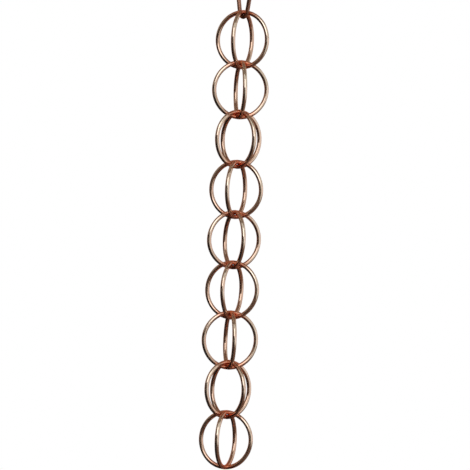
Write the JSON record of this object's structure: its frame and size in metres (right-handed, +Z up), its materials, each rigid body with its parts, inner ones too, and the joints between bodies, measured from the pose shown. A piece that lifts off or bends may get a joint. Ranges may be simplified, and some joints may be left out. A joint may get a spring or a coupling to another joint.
{
  "type": "rain chain",
  "caption": "Hanging copper rain chain of crossed double-loop wire links below a V-shaped gutter hook, guiding roof water down from a gutter outlet.",
  "frame": {"origin": "on the chain's axis at the level of the gutter's floor, where the hook's feet rest", "axes": "+X along the hook's level feet, +Z up, the chain hangs down along -Z"},
  "size_m": [0.1366, 0.0548, 0.5377],
  "materials": {
    "copper_wire": "polished copper wire, lightly toned, brazed at the crossings"
  },
  "bodies": {
    "hanger": {"hanger": "copper_wire"},
    "link_1": {"link_1_hoop": "copper_wire", "link_1_bow_left": "copper_wire", "link_1_bow_right": "copper_wire"},
    "link_2": {"link_2_hoop": "copper_wire", "link_2_bow_left": "copper_wire", "link_2_bow_right": "copper_wire"},
    "link_3": {"link_3_hoop": "copper_wire", "link_3_bow_left": "copper_wire", "link_3_bow_right": "copper_wire"},
    "link_4": {"link_4_hoop": "copper_wire", "link_4_bow_left": "copper_wire", "link_4_bow_right": "copper_wire"},
    "link_5": {"link_5_hoop": "copper_wire", "link_5_bow_left": "copper_wire", "link_5_bow_right": "copper_wire"},
    "link_6": {"link_6_hoop": "copper_wire", "link_6_bow_left": "copper_wire", "link_6_bow_right": "copper_wire"},
    "link_7": {"link_7_hoop": "copper_wire", "link_7_bow_left": "copper_wire", "link_7_bow_right": "copper_wire"},
    "link_8": {"link_8_hoop": "copper_wire", "link_8_bow_left": "copper_wire", "link_8_bow_right": "copper_wire"},
    "link_9": {"link_9_hoop": "copper_wire", "link_9_bow_left": "copper_wire", "link_9_bow_right": "copper_wire"}
  },
  "joints": [
    {"name": "link_1_swing", "type": "hinge", "parent": "hanger", "child": "link_1", "pos_m": [0, 0, -0.09795], "axis": [1, 0, 0], "range_deg": [-12, 12]},
    {"name": "link_2_swing", "type": "hinge", "parent": "link_1", "child": "link_2", "pos_m": [0, 0, -0.14402], "axis": [0.9681, 0.2504, 0], "range_deg": [-5, 5]},
    {"name": "link_3_swing", "type": "hinge", "parent": "link_2", "child": "link_3", "pos_m": [0, 0, -0.19194], "axis": [-0.6852, 0.7284, 0], "range_deg": [-5, 5]},
    {"name": "link_4_swing", "type": "hinge", "parent": "link_3", "child": "link_4", "pos_m": [0, 0, -0.23993], "axis": [0.2882, 0.9576, 0], "range_deg": [-6, 6]},
    {"name": "link_5_swing", "type": "hinge", "parent": "link_4", "child": "link_5", "pos_m": [0, 0, -0.28831], "axis": [-0.3461, 0.9382, 0], "range_deg": [-11, 11]},
    {"name": "link_6_swing", "type": "hinge", "parent": "link_5", "child": "link_6", "pos_m": [0, 0, -0.33671], "axis": [0.9412, 0.3379, 0], "range_deg": [-12, 12]},
    {"name": "link_7_swing", "type": "hinge", "parent": "link_6", "child": "link_7", "pos_m": [0, 0, -0.38504], "axis": [-0.2504, 0.9681, 0], "range_deg": [-5, 5]},
    {"name": "link_8_swing", "type": "hinge", "parent": "link_7", "child": "link_8", "pos_m": [0, 0, -0.43295], "axis": [0.7284, 0.6852, 0], "range_deg": [-5, 5]},
    {"name": "link_9_swing", "type": "hinge", "parent": "link_8", "child": "link_9", "pos_m": [0, 0, -0.48094], "axis": [-0.9576, 0.2882, 0], "range_deg": [-6, 6]}
  ]
}
